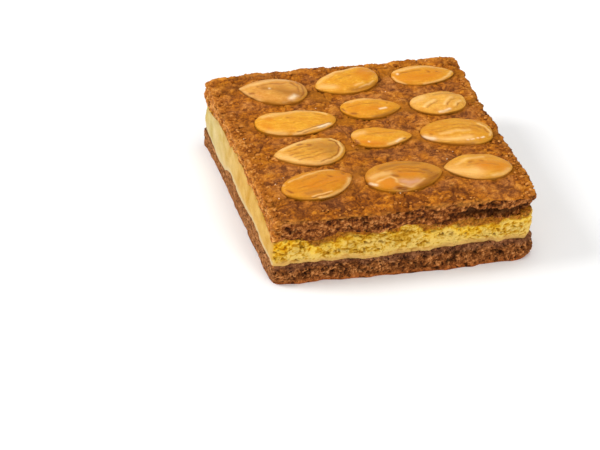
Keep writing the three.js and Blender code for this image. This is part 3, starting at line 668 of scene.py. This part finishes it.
def dough_relief(points, crumbly):
    """The baked skin of the dough: soft lumps, grains where it is crumbly, small pits and short cracks."""
    flat = points * (1.0, 1.0, 0.0)
    uneven = warped(flat, 2.1, 0.9)
    coarse, gap, own = grains(uneven, 1.7, 5)
    fine, fine_gap, fine_own = grains(uneven, 0.95, 7)
    swells = 0.16 * billows(flat + 5.0, 3.6, 3)
    skin = 0.08 * octaves(flat, 1.2, 3)
    ragged = smooth(noise(flat, 3.4) + 1.2 * crumbly, 0.5, 1.2)
    long_first, long_second, _ = cells(warped(flat, 2.3, 0.9), 8.0, 41)
    crack = (1 - smooth(long_second - long_first, 0.0, 0.055)) * smooth(noise(flat, 6.0), -0.1, 0.25)
    pit_first, _, pit_own = cells(flat, 2.6, 19)
    pits = (1 - smooth(pit_first, 0.1, 0.24)) * (pit_own > 0.6)
    hollows = ragged * smooth(octaves(flat + 40.0, 1.5, 2), 0.35, 0.8)
    relief = ragged * (0.42 * (coarse - 0.6) - 0.2 * gap) + (0.1 + 0.12 * ragged) * (fine - 0.6)
    relief = relief + swells + skin - 0.35 * crack - 0.35 * pits - 0.3 * hollows
    # Painted shade: darker in the cracks, pits, hollows and gaps between grains.
    hollow_shade = unit(0.9 * crack + pits + 0.6 * hollows + 0.5 * ragged * gap + 0.12 * fine_gap)
    tone = (0.26 + 0.26 * ragged) * own + (0.44 - 0.26 * ragged) * fine_own
    # Painted light: lighter on the raised swells.
    tone = tone + 0.3 * smooth(swells, -0.12, 0.28)
    return relief, hollow_shade, tone


def follow_edge(grid, i, j, moved):
    """How far the grid's inner points go along with the shifts of its edge, less and less further in."""
    reach = round(EDGE_REACH / CRUST_STEP)
    c, r = grid.columns, grid.rows
    front, right = moved[:c + 1], moved[c:c + r + 1]
    back = moved[c + r:2 * c + r + 1][::-1]
    left = np.concatenate([moved[2 * c + r:], moved[:1]])[::-1]
    to_left, to_right, to_front, to_back = (unit(1 - v / reach)[:, None] ** 2 for v in (i, c - i, j, r - j))
    total = to_left * left[j] + to_right * right[j] + to_front * front[i] + to_back * back[i]
    total -= to_left * to_front * front[0] + to_right * to_front * front[c]
    return total - to_left * to_back * back[0] - to_right * to_back * back[c]


def lay_top(shell, ring):
    """Covers the top with a grid that starts at the ring. Gives the glaze at the grid's points."""
    grid = Plan(CRUST_STEP, inset=RIM)
    i, j = (v.ravel() for v in np.meshgrid(np.arange(1, grid.columns), np.arange(1, grid.rows)))
    edge_i, edge_j = grid.outline_cells()
    moved = shell.points[-1][:, :2] - np.stack(grid.points(edge_i, edge_j), axis=1)
    x, y = np.stack(grid.points(i, j)) + follow_edge(grid, i, j, moved).T
    z, glaze = dough_surface(x, y)
    numbers = np.zeros((grid.rows + 1, grid.columns + 1), int)
    numbers[edge_j, edge_i] = ring
    numbers[1:-1, 1:-1] = shell.add(at(x, y, z)).reshape(grid.rows - 1, grid.columns - 1)
    corners = (numbers[:-1, :-1], numbers[:-1, 1:], numbers[1:, 1:], numbers[1:, :-1])
    shell.faces.append(np.stack([corner.ravel() for corner in corners], axis=1))
    return glaze


def lay_crumbs():
    """Uneven crumbs on the dough: their points, faces, tones and shares of sugar."""
    shape, triangles = ball()
    points, faces, tones, sugar = [], [], [], []
    chance = np.random.default_rng(11)
    for number, (x, y, radius, crystal) in enumerate(crumb_places()):
        uneven = 1 + 0.45 * noise(shape + 9.0 * number, 0.7)
        size = radius * np.array([chance.uniform(*ends) for ends in ((0.8, 1.4), (0.8, 1.2), (0.5, 0.85))])
        worn = worn_edge(at([x], [y], 0.0))[0]
        level = dough_surface(np.array([x]), np.array([y]))[0][0] - WORN_DEPTH * worn
        points.append(shape * uneven[:, None] * size + np.array([x, y, level + 0.2 * radius]))
        faces.append(triangles + number * len(shape))
        tones.append(np.full(len(shape), chance.uniform(0.35, 0.8)))
        sugar.append(np.full(len(shape), crystal))
    return (np.concatenate(parts) for parts in (points, faces, tones, sugar))


def top_crust_shell():
    """The upper crust: points, faces, normals, how many points are on its sides, and the glaze at each."""
    shell, plan = Shell(), Plan(CRUST_STEP)

    def lower(x, y):
        return filling_top(x, y) + 0.05

    def upper(x, y):
        return dough_top(x, y) - RIM

    def push(points, side, share):
        return top_crust_push(points, side, RIM_SHARE * share)

    rings = sides(shell, plan, lower, upper, CRUST_RISE, push)
    x, y, out = plan.outline()
    start = at(x, y, upper(x, y))
    rim_push = push(start, facing(out), 1.0)
    for turn in np.linspace(0, np.pi / 2, RIM_RINGS + 1)[1:]:
        amount = rim_push - RIM * (1 - np.cos(turn))
        rings.append(shell.add(start + amount[:, None] * out + at(0, 0, RIM * np.sin(turn))))
        shell.band(rings[-2], rings[-1])
    side_count = shell.count
    top_glaze = lay_top(shell, rings[-1])
    close_inside(shell, plan, rings[0], lower, False, (2.2, 4.0))
    glaze = np.zeros(shell.count)
    glaze[side_count:side_count + len(top_glaze)] = top_glaze
    return *shell.done(), side_count, glaze


def make_top_crust(material):
    points, faces, normals, side_count, glaze = top_crust_shell()
    x, y, z = points.T
    flat = points * (1, 1, 0)
    level = dough_top(x, y)
    on_side = np.arange(len(points)) < side_count
    sideness = smooth(1 - normals[:, 2], 0.25, 0.8)
    sideness = np.maximum(sideness, on_side * smooth(level - z, 0.7, 1.3))
    edge = np.maximum(np.minimum(WIDTH / 2 + 0.5 - np.abs(x), DEPTH / 2 + 0.8 - np.abs(y)), 0)
    wild = 0.55 * noise(flat + 3.0, 6.0) + 0.35 * noise(flat, 2.7)
    crumbly = unit(np.exp(-edge / 5.0) + 0.25 + wild)
    # The skin is worn off along the left side's edge, and less so along the right side's
    worn = worn_edge(flat)
    from_right = np.maximum(WIDTH / 2 + 2 - x + 1.5 * octaves(flat + 8.0, 3.5, 2), 0)
    crumbled = unit(0.8 * bell(from_right / 2.4) + 0.3 * noise(flat + 8.0, 1.4) - 0.15)
    left = smooth(-normals[:, 0], 0.5, 0.9)
    left_or_worn = np.maximum(left, worn)
    broken = np.maximum(sideness, 0.6 * worn)

    side_relief, side_hollow_shade, side_tone = crumb_relief(points, 1 - 0.3 * left)
    top_relief, top_hollow_shade, top_tone = dough_relief(points, np.maximum(crumbly, worn))
    relief = side_relief * broken + top_relief * (1 - broken)
    share = (z - filling_top(x, y)) / (level - RIM - filling_top(x, y))
    groove = crack_depth(x, on_side * (y < 4 - DEPTH / 2), share) / CRACK["depth"]
    # Painted shade in the pits, less on the left and worn edges, and a painted shadow along the crack in the
    # front side.
    side_hollow_shade = np.maximum(side_hollow_shade * (1 - 0.4 * left_or_worn), smooth(groove, 0.25, 0.8))
    darker = smooth(-y, 26, 34) * (1 - smooth(x, 8, 22))  # darker towards the front, on its left part
    # Painted highlight: a lighter orange line along the top's upper edge.
    rim = bell(edge / 0.9) * smooth(z, HEIGHT - 1.6, HEIGHT - 0.8)
    points = points + normals * relief[:, None]
    points[:, 2] -= WORN_DEPTH * worn * smooth(z, HEIGHT - 3, HEIGHT - 1)

    crumb_points, crumb_faces, crumb_tone, sugar = lay_crumbs()
    on_crumbs = {"tone": crumb_tone, "side": 0.8, "left": 0.6, "crumbly": 1.0, "sugar": sugar}
    attributes = {
        "pit": side_hollow_shade * broken + top_hollow_shade * (1 - broken),
        "glaze": glaze,
        "tone": side_tone * broken + (top_tone - 0.13 * darker) * (1 - broken),
        "side": np.maximum(sideness, np.maximum(0.9 * worn, 0.7 * crumbled)),
        "left": np.maximum(left_or_worn, crumbled * (on_side == 0)),
        "rim": rim * smooth(noise(flat, 2.2), -0.4, 0.4),
        "crumbly": crumbly,
        "sugar": np.zeros(len(points)),
    }
    for key, values in attributes.items():
        attributes[key] = np.append(values, np.zeros(len(crumb_points)) + on_crumbs.get(key, 0.0))
    faces.append(crumb_faces + len(points))
    points = np.concatenate([points, crumb_points])
    return make_object("top_crust_crumb", points, faces, material, **attributes)


def make_filling(material):
    points, faces, normals = closed_layer(
        FILLING_STEP, FILLING_RISE, filling_push, (2.5,),
        lambda x, y: filling_bottom(x, y) - 0.15, lambda x, y: filling_top(x, y) + 0.35,
    )
    x, y, z = points.T
    left = smooth(-normals[:, 0], 0.55, 0.9)
    low, high = filling_bottom(x, y), filling_top(x, y)
    share = unit((z - low) / (high - low)) + 0.06 * noise(points, 2.0)
    open_crumb = (1 - 0.82 * left) * (0.3 + 0.7 * smooth(share + 0.15 * noise(points, 4.0), 0.1, 0.38))
    relief, hollow_shade, tone = paste_relief(points, open_crumb)
    # Fat and spices from the top crust have stained its upper edge, in lobes
    lobes = 0.08 + 0.12 * octaves(at(x, 0.0, 0.0), 3.4, 2) + 0.08 * octaves(points, 1.1, 2)
    lobes += 0.20 * bell((x - 22) / 9) + 0.10 * bell((x + 24) / 7)
    tone = tone + 0.08 * (1 - smooth(share, 0.15, 0.5))
    stain = smooth(share + lobes, 0.93, 1.08) * (1 - 0.8 * left)
    golden = smooth(share + 2 * lobes + 0.55 * near_side(WIDTH / 2 + x, 12), 0.75, 1.3)
    points = points + normals * relief[:, None]
    return make_object("filling_crumb", points, faces, material, pit=hollow_shade, tone=tone, share=share,
                       left=left, stain=stain, golden=golden, pale_end=unit((y + 5) / 35))


def paste_relief(points, open_crumb):
    """Baked almond paste, broken open: soft lumps, with painted shade in the holes and wedges between them
    and painted light on their tops.
    """
    flat = warped(points * (0.8, 0.8, 1.1), 1.1, 0.5)
    coarse, gap, own = grains(flat, 1.15, 13)
    fine, fine_gap, _ = grains(flat, 0.58, 29)
    puffs = billows(flat, 1.3, 2)
    holes = smooth(octaves(points * (0.9, 0.9, 1.3) + 9.0, 0.95, 2), 0.48, 0.85)
    lumps = 0.42 * coarse + 0.38 * fine + 0.2 * (puffs + 0.3)
    relief = open_crumb * (0.7 * (lumps - 0.5) - 0.6 * holes) + 0.05 * octaves(points, 0.6, 2)
    # Partly painted light and shade: lighter on the lumps, darker between them, with each grain's own tone
    # and noise.
    tone = 0.22 + 0.7 * smooth(lumps, 0.15, 0.85) + 0.12 * (own - 0.5) + 0.2 * noise(points, 3.0)
    # Painted shade in the holes and the gaps between lumps.
    hollow_shade = unit(0.9 * holes + (0.4 * gap + 0.2 * fine_gap) * smooth(noise(points, 1.9), -0.3, 0.3))
    return relief, hollow_shade * unit(open_crumb + 0.05), unit(tone)


def make_bottom_crust(material):
    points, faces, normals = closed_layer(
        CRUST_STEP, CRUST_RISE, bottom_crust_push, (2.4, 3.5, 6.0, 12.0, 22.0),
        lambda x, y: np.zeros_like(x), filling_bottom,
    )
    x, y, z = points.T
    left = smooth(-normals[:, 0], 0.5, 0.9)
    share = unit(z / filling_bottom(x, y))
    band = 0.85 * smooth(share + 0.16 * octaves(points, 2.4, 2), 0.6, 0.85) * (1 - left)
    torn = smooth(1 - np.abs(normals[:, 2]), 0.1, 0.5) * (1 - 0.6 * band) * (1 - 0.5 * left)
    relief, hollow_shade, tone = crumb_relief(points + 57.0, torn)
    points = points + normals * np.where(z < 0.01, 0, relief)[:, None]
    points[:, 2] = np.maximum(points[:, 2], 0)
    return make_object("bottom_crust_crumb", points, faces, material,
                       pit=hollow_shade * torn, tone=tone, share=share, left=left, band=band)


# ---- Almonds ----
def almond_shell(name):
    """An almond along X, its tip at +X: points, faces and normals, and each point's s and angle."""
    _, _, length, width, _, tip, point, blunt, bend = ALMONDS[name]
    s = -np.cos(np.pi * np.arange(1, ALMOND_BANDS) / ALMOND_BANDS)
    angle = 2 * np.pi * np.arange(ALMOND_FACETS) / ALMOND_FACETS
    s, angle = np.meshgrid(s, angle, indexing="ij")
    share = almond_width(s, point, blunt)
    c, n = np.cos(angle), np.sin(angle)
    across = share * np.sign(c) * np.abs(c) ** 0.85 + tip * bend * (1 - s**2)
    up = share**0.85 * np.sign(n) * np.abs(n) ** 0.8
    shell = Shell()
    rings = [shell.add(ring) for ring in at(s * length / 2, across * width / 2, up * almond_rise(width))]
    for a, b in zip(rings, rings[1:]):
        shell.band(a, b)
    shell.fan(rings[0], [-length / 2, 0, 0], False)
    shell.fan(rings[-1], [length / 2, 0, 0], True)
    return *shell.done(), np.append(s, [-1.0, 1.0]), np.append(angle, [0.0, 0.0])


def draw_marks(name, placed, streaky):
    """How deep an almond's marks sink each point, and how much of each colour they bring."""
    seen = placed[:, :2] + placed[:, 2:] * np.array(VIEW_SLIDE)
    seen = seen + 0.25 * np.stack([noise(placed + 5.0, 1.3), noise(placed + 25.0, 1.3)], axis=1)
    sunk = np.zeros(len(placed))
    colours = {colour: np.zeros(len(placed)) for colour in ("brown", "pale_skin_and_painted_highlight", "warm", "dull", "painted_highlight", "pink")}
    for kind, marks in MARKS[name].items():
        depth, colour, amount = MARK_KINDS[kind]
        for reach, *line in marks:
            distance = line_distance(seen, np.reshape(line, (-1, 2))) / reach
            weight = bell(distance) * (placed[:, 2] > -0.4) * (1 + 0.35 * streaky)
            sunk += depth * weight
            colours[colour] = np.maximum(colours[colour], amount * weight)
    return sunk, colours


def make_almond(name, seed, material):
    """One almond in its place, with grooves along its sides and its own marks, some of them painted
    highlights.
    """
    ax, ay, _, width, turn, tip, _, _, _ = ALMONDS[name]
    points, faces, normals, s, angle = almond_shell(name)
    turned = math.radians(turn) + (math.pi if tip < 0 else 0)
    cosine, sine = math.cos(turned), math.sin(turned)
    rotation = np.array([[cosine, sine, 0], [-sine, cosine, 0], [0, 0, 1]])
    placed, placed_normals = points @ rotation, normals @ rotation
    grain = at(0.9 * s, 2.4 * np.cos(angle) + 0.15 * np.sin(4 * s + seed), 2.4 * np.sin(angle)) + 11.0 * seed
    sunk, colours = draw_marks(name, placed, octaves(grain + 5.0, 0.3, 2))
    grooves = 0.09 * octaves(grain, 0.36, 3)
    wrinkles = 0.1 * noise(grain + 3.0, 0.8)
    swells = 0.25 * noise(placed + 13.0 * seed, 4.5)
    relief = np.sqrt(unit(1 - s**2)) * (grooves + wrinkles + swells) - sunk
    points = placed + placed_normals * relief[:, None] + np.array([ax, ay, almond_level(name) + ALMOND_LIFT])
    # How low each point lies, and how far it faces the front lamp: masks for a painted highlight low on the
    # front-right side and painted shade at the foot.
    rim = 1 - unit(placed[:, 2] / almond_rise(width))
    lower_right = unit(placed_normals[:, 0] * 0.45 - placed_normals[:, 1] * 0.9)
    return make_object(name + "_kernel", points, faces, material,
                       grain=grain, rim=rim, lower_right=lower_right, **colours)


# ---- Colours and materials ----
def rgb(red, green, blue):
    """A colour from the 0 to 255 of a screen to the shader's linear values."""
    channels = np.array([red, green, blue]) / 255.0
    linear = np.where(channels <= 0.04045, channels / 12.92, ((channels + 0.055) / 1.055) ** 2.4)
    return (*linear, 1.0)


class Nodes:
    """A material and the calls that add nodes to it. Colours are given as on a screen, from 0 to 255."""

    def __init__(self, name, **sockets):
        self.material = bpy.data.materials.new(name)
        self.material.use_nodes = True
        self.tree = self.material.node_tree
        self.shader = self.tree.nodes["Principled BSDF"]
        for socket, value in sockets.items():
            self.shader.inputs[socket.replace("_", " ")].default_value = value

    def fill(self, socket, value):
        """Gives a socket another node's output, a colour or a number."""
        if hasattr(value, "node"):
            self.tree.links.new(value, socket)
        else:
            socket.default_value = rgb(*value) if isinstance(value, tuple) else value

    def add(self, kind, output, inputs, **settings):
        """Adds a node and gives that output of it."""
        node = self.tree.nodes.new("ShaderNode" + kind)
        for key, value in settings.items():
            setattr(node, key, value)
        for socket, value in inputs.items():
            self.fill(node.inputs[socket], value)
        return node.outputs[output]

    def times(self, a, b):
        return self.add("Math", 0, {0: a, 1: b}, operation="MULTIPLY", use_clamp=True)

    def plus(self, a, b):
        return self.add("Math", 0, {0: a, 1: b}, operation="ADD", use_clamp=True)

    def mix(self, factor, a, b):
        return self.add("Mix", 2, {0: factor, 6: a, 7: b}, data_type="RGBA")

    def blend(self, a, share, b):
        """The mean of two factors, b having that share."""
        return self.plus(self.times(a, 1 - share), self.times(b, share))

    def attribute(self, name, output="Fac"):
        return self.add("Attribute", output, {}, attribute_name=name)

    def tint(self, body, name, share, colour):
        """Lays a colour over the body where the attribute is, that strong at most."""
        return self.mix(self.times(self.attribute(name), share), body, colour)

    def noise(self, size_mm, detail=3.0, roughness=0.55, vector=None, units=1000.0):
        place = self.add("TexCoord", "Object", {}) if vector is None else vector
        inputs = {"Vector": place, "Scale": units / size_mm, "Detail": detail, "Roughness": roughness}
        return self.add("TexNoise", "Fac", inputs)

    def ramp(self, factor, *stops):
        """Each stop is a position and a colour, or a position and one number."""
        output = self.add("ValToRGB", "Color", {"Fac": factor})
        elements = output.node.color_ramp.elements
        while len(elements) < len(stops):
            elements.new(0.5)
        for element, (position, *colour) in zip(elements, stops):
            element.position = position
            element.color = rgb(*colour) if len(colour) == 3 else (*colour * 3, 1)
        return output

    def done(self, colour, roughness, height=None, distance_mm=0.0, strength=1.0):
        """Finishes the shader, with a bump where a height is given."""
        self.fill(self.shader.inputs["Base Color"], colour)
        self.fill(self.shader.inputs["Roughness"], roughness)
        if height is not None:
            inputs = {"Height": height, "Distance": distance_mm * 0.001, "Strength": strength}
            self.fill(self.shader.inputs["Normal"], self.add("Bump", "Normal", inputs))
        return self.material


def top_dough_material():
    n = Nodes("top_dough", Specular_IOR_Level=0.08)
    side = n.attribute("side")
    grain = n.noise(0.55, roughness=0.75)
    tone = n.blend(n.attribute("tone"), 0.5, grain)
    skin = n.ramp(tone, (0.34, 108, 59, 26), (0.45, 150, 87, 38), (0.56, 178, 109, 47), (0.68, 200, 131, 65))
    crust = n.ramp(tone, (0.33, 124, 64, 12), (0.43, 168, 93, 15), (0.55, 196, 117, 24), (0.68, 218, 143, 47))
    light = n.ramp(tone, (0.33, 104, 49, 10), (0.43, 164, 90, 23), (0.55, 198, 121, 42), (0.68, 234, 168, 90))
    crumb = n.ramp(tone, (0.34, 46, 17, 4), (0.45, 104, 50, 12), (0.55, 150, 83, 30), (0.68, 204, 134, 72))
    patches = n.ramp(n.noise(6.0, detail=2.0), (0.42, 0.0), (0.58, 0.6))
    top = n.mix(n.plus(n.times(n.attribute("crumbly"), 0.7), patches), skin, crust)
    body = n.mix(side, top, n.mix(n.attribute("left"), crumb, light))
    specks = n.ramp(n.noise(0.9, detail=2.0, roughness=0.6), (0.33, 1.0), (0.41, 0.0))
    body = n.mix(n.times(specks, n.ramp(side, (0.0, 0.38), (1.0, 0.75))), body, (64, 26, 4))
    # Painted highlight along the top's upper edge.
    body = n.tint(body, "rim", 0.5, (214, 140, 56))
    body = n.tint(body, "glaze", 0.6, (172, 104, 12))
    # Painted shade in the hollows, darker still on the broken sides.
    body = n.tint(body, "pit", 0.8, n.mix(side, (88, 40, 9), (36, 13, 2)))
    body = n.tint(body, "sugar", 1.0, (244, 214, 176))
    return n.done(body, n.ramp(grain, (0.3, 0.5), (0.7, 0.8)), n.noise(0.45, roughness=0.7), 0.2)


def bottom_dough_material():
    n = Nodes("bottom_dough", Specular_IOR_Level=0.08)
    tone = n.blend(n.attribute("tone"), 0.55, n.noise(0.5, roughness=0.75))
    crumb = n.ramp(tone, (0.33, 44, 18, 6), (0.44, 106, 56, 20), (0.56, 156, 92, 42), (0.7, 218, 148, 86))
    band = n.ramp(tone, (0.3, 50, 24, 12), (0.45, 98, 56, 32), (0.6, 134, 86, 54), (0.75, 166, 116, 80))
    light = n.ramp(tone, (0.3, 86, 46, 20), (0.45, 138, 84, 42), (0.57, 170, 110, 60), (0.72, 206, 150, 96))
    foot = n.ramp(n.attribute("share"), (0.08, 0.6), (0.3, 0.0))
    body = n.mix(foot, crumb, (186, 102, 44))
    body = n.tint(body, "band", 1.0, band)
    body = n.tint(body, "left", 0.85, light)
    specks = n.ramp(n.noise(0.8, detail=2.0, roughness=0.6), (0.34, 0.9), (0.42, 0.0))
    body = n.mix(specks, body, (38, 15, 4))
    # Painted shade in the hollows.
    body = n.tint(body, "pit", 0.85, (30, 11, 3))
    return n.done(body, 0.8, n.noise(0.45, roughness=0.7), 0.2)


def paste_material():
    n = Nodes("almond_paste", Specular_IOR_Level=0.06, Subsurface_Weight=0.12, Subsurface_Scale=0.0005,
              Subsurface_Radius=(1.0, 0.6, 0.25))
    left = n.attribute("left")
    grain = n.noise(0.7, roughness=0.65)
    tone = n.blend(n.attribute("tone"), 0.35, grain)
    broken = n.ramp(tone, (0.3, 122, 82, 2), (0.44, 170, 117, 12), (0.58, 200, 152, 42), (0.74, 224, 189, 98))
    warm = n.ramp(tone, (0.3, 142, 86, 0), (0.45, 196, 130, 2), (0.6, 218, 162, 20), (0.76, 236, 194, 70))
    smeared = n.ramp(grain, (0.35, 84, 36, 6), (0.48, 132, 69, 14), (0.62, 174, 101, 30))
    patches = n.noise(5.5, detail=1.5)
    near = n.ramp(patches, (0.35, 195, 144, 51), (0.65, 212, 169, 87))
    far = n.ramp(patches, (0.35, 192, 166, 92), (0.65, 208, 188, 132))
    body = n.mix(n.attribute("golden"), broken, warm)
    body = n.mix(left, body, n.mix(n.attribute("pale_end"), near, far))
    low = n.ramp(n.attribute("share"), (0.06, 0.85), (0.22, 0.0))
    body = n.mix(low, body, n.mix(left, (206, 160, 88), (206, 184, 140)))
    body = n.tint(body, "stain", 0.9, smeared)
    # Painted shade in the holes and gaps.
    body = n.tint(body, "pit", 0.75, (116, 74, 0))
    return n.done(body, 0.6, n.noise(0.4, roughness=0.65), 0.14)


def almond_material(name, amount, *own_colour):
    """The skin of an almond whose own colour prevails by that amount."""
    n = Nodes(name, Specular_IOR_Level=0.18, Subsurface_Weight=0.1, Subsurface_Scale=0.0008,
              Subsurface_Radius=(1.0, 0.5, 0.2), Coat_Weight=0.07, Coat_Roughness=0.25)
    rim = n.attribute("rim")
    fibres = n.noise(0.22, detail=4.0, roughness=0.65, vector=n.attribute("grain", "Vector"), units=1.0)
    tone = n.blend(fibres, 0.4, n.noise(0.8, roughness=0.7))
    body = n.ramp(tone, (0.32, 196, 116, 2), (0.46, 219, 150, 20), (0.56, 226, 158, 30), (0.68, 248, 202, 96))
    body = n.mix(n.ramp(n.noise(4.0), (0.42, 0.0), (0.6, 0.6)), body, (208, 126, 2))
    own = n.mix(n.ramp(tone, (0.38, 0.6), (0.58, 0.0)), own_colour, (176, 104, 10))
    body = n.mix(amount, body, own)
    # Painted highlight: a lighter band low on the side that faces the front lamp.
    edge = n.times(n.ramp(rim, (0.45, 0.0), (0.85, 0.4)), n.attribute("lower_right"))
    body = n.mix(edge, body, (240, 184, 66))
    body = n.tint(body, "warm", 0.75, (208, 122, 0))
    body = n.tint(body, "dull", 0.65, (164, 104, 26))
    # Lighter skin, partly painted highlight along the edges.
    body = n.tint(body, "pale_skin_and_painted_highlight", 0.6, (244, 200, 126))
    body = n.tint(body, "pink", 0.85, (206, 150, 112))
    body = n.tint(body, "brown", 0.75, (134, 64, 4))
    # Painted highlights: near-white glints and streaks.
    body = n.tint(body, "painted_highlight", 0.7, (254, 230, 190))
    # Painted shade: darker brown round the foot, where the almond meets the dough.
    body = n.mix(n.ramp(rim, (0.86, 0.0), (1.0, 0.8)), body, (146, 86, 8))
    return n.done(body, n.ramp(tone, (0.3, 0.38), (0.7, 0.55)), tone, 0.25, 0.8)


# ---- The room ----
def make_floor():
    n = Nodes("floor", Specular_IOR_Level=0.1)
    white = n.ramp(n.noise(60.0, detail=2.0), (0.3, 246, 246, 246), (0.7, 252, 252, 252))
    bpy.ops.mesh.primitive_plane_add(size=6.0, location=(0, 0, 0))
    floor = bpy.context.object
    floor.name = "floor"
    floor.data.materials.append(n.done(white, 0.7))


def add_light(name, place, size, power):
    """A soft box aimed at the square."""
    data = bpy.data.lights.new(name, "AREA")
    data.shape = "DISK"
    data.size = size
    data.energy = power
    lamp = put(name, data)
    lamp.location = place
    lamp.rotation_euler = (-Vector(place)).to_track_quat("-Z", "Y").to_euler()


def make_lights():
    world = bpy.data.worlds.new("room")
    bpy.context.scene.world = world
    world.use_nodes = True
    sky = world.node_tree.nodes["Background"].inputs
    sky["Color"].default_value = (1, 1, 1, 1)
    sky["Strength"].default_value = 0.5
    add_light("key", (-0.8, 0.2, 0.65), 0.5, 7.0)
    add_light("front", (0.25, -0.9, 0.45), 0.5, 4.5)
    add_light("top", (0.1, 0.1, 1.0), 0.6, 2.5)


def make_camera():
    """The camera of the photograph, its place worked out from the middle of the square's bottom."""
    azimuth, elevation, roll = (math.radians(v) for v in (CAMERA_AZIMUTH, CAMERA_ELEVATION, CAMERA_ROLL))
    tilt = Matrix.Rotation(math.pi / 2 - elevation, 4, "X") @ Matrix.Rotation(roll, 4, "Z")
    turn = Matrix.Rotation(azimuth, 4, "Z") @ tilt
    place = turn @ Vector((-CAMERA_AIM[0], -CAMERA_AIM[1], CAMERA_DISTANCE)) + Vector(PLAN_MIDDLE)
    data = bpy.data.cameras.new("camera")
    data.sensor_width = SENSOR
    data.lens = FOCAL_PIXELS * SENSOR / IMAGE_WIDTH
    data.clip_start, data.clip_end = 0.05, 20
    camera = put("camera", data)
    camera.matrix_world = Matrix.Translation(place * 0.001) @ turn
    bpy.context.scene.camera = camera


def dress(piece, node):
    """The piece takes the node's place."""
    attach(piece, "root")
    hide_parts(node)


make_camera()
bpy.context.scene.view_settings.view_transform = "Standard"
make_floor()
make_lights()
dress(make_bottom_crust(bottom_dough_material()), "bottom_crust")
dress(make_filling(paste_material()), "filling")
dress(make_top_crust(top_dough_material()), "top_crust")
for number, (almond, tint) in enumerate(zip(ALMONDS, ALMOND_TINTS), 1):
    skin = almond_material(almond + "_skin", *tint)
    dress(make_almond(almond, number, skin), almond)
